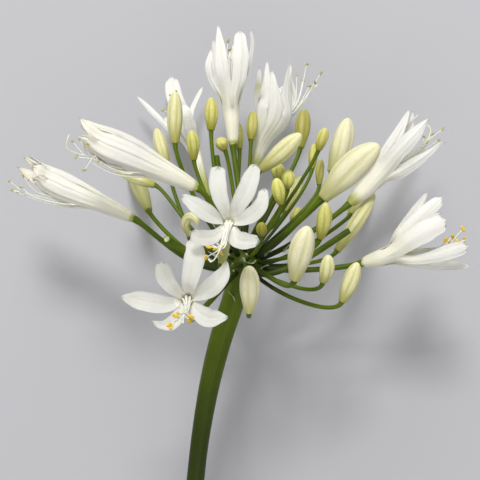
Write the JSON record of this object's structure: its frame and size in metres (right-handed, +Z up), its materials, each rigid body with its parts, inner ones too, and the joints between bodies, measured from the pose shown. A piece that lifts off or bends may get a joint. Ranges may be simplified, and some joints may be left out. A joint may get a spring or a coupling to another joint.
{
  "type": "agapanthus flower stem",
  "caption": "Umbel of white trumpet-shaped agapanthus florets and buds on pedicels at the end of its cut green scape, lying on its back.",
  "frame": {"origin": "centre of the bounding box in plan, on the surface the stem lies on", "axes": "+Y from the cut end of the scape to the umbel, +Z up from the surface, +X to the right when seen from above with the umbel at the far end"},
  "size_m": [0.1944, 0.3372, 0.1462],
  "materials": {
    "scape": "smooth waxy green stalk",
    "bud": "soft cream to yellow-green closed tepals",
    "pedicel": "smooth green stalk",
    "perianth": "matte white petal",
    "stamens": "matte white filament and powdery yellow anther",
    "pistil": "matte pale green"
  },
  "bodies": {
    "root": {"bud_01": "bud", "bud_02": "bud", "bud_03": "bud", "bud_04": "bud", "bud_05": "bud", "bud_06": "bud", "bud_07": "bud", "bud_08": "bud", "bud_09": "bud", "bud_10": "bud", "bud_11": "bud", "bud_12": "bud", "bud_13": "bud", "bud_14": "bud", "bud_15": "bud", "bud_16": "bud", "bud_17": "bud", "bud_18": "bud", "bud_19": "bud", "bud_20": "bud", "bud_21": "bud", "bud_22": "bud", "bud_23": "bud", "bud_24": "bud", "bud_25": "bud", "bud_26": "bud", "bud_27": "bud", "bud_28": "bud", "bud_29": "bud", "bud_30": "bud", "cut_pedicel_1": "pedicel", "cut_pedicel_2": "pedicel", "flower_back": "perianth", "flower_back_pistil": "pistil", "flower_back_stamens": "stamens", "flower_front": "perianth", "flower_front_pistil": "pistil", "flower_front_stamens": "stamens", "flower_left": "perianth", "flower_left_pistil": "pistil", "flower_left_stamens": "stamens", "flower_lower_left": "perianth", "flower_lower_left_pistil": "pistil", "flower_lower_left_stamens": "stamens", "flower_right": "perianth", "flower_right_pistil": "pistil", "flower_right_stamens": "stamens", "flower_top": "perianth", "flower_top_pistil": "pistil", "flower_top_right": "perianth", "flower_top_right_pistil": "pistil", "flower_top_right_stamens": "stamens", "flower_top_stamens": "stamens", "flower_upper_left": "perianth", "flower_upper_left_pistil": "pistil", "flower_upper_left_stamens": "stamens", "flower_upper_right": "perianth", "flower_upper_right_pistil": "pistil", "flower_upper_right_stamens": "stamens", "scape": "scape"}
  },
  "joints": []
}
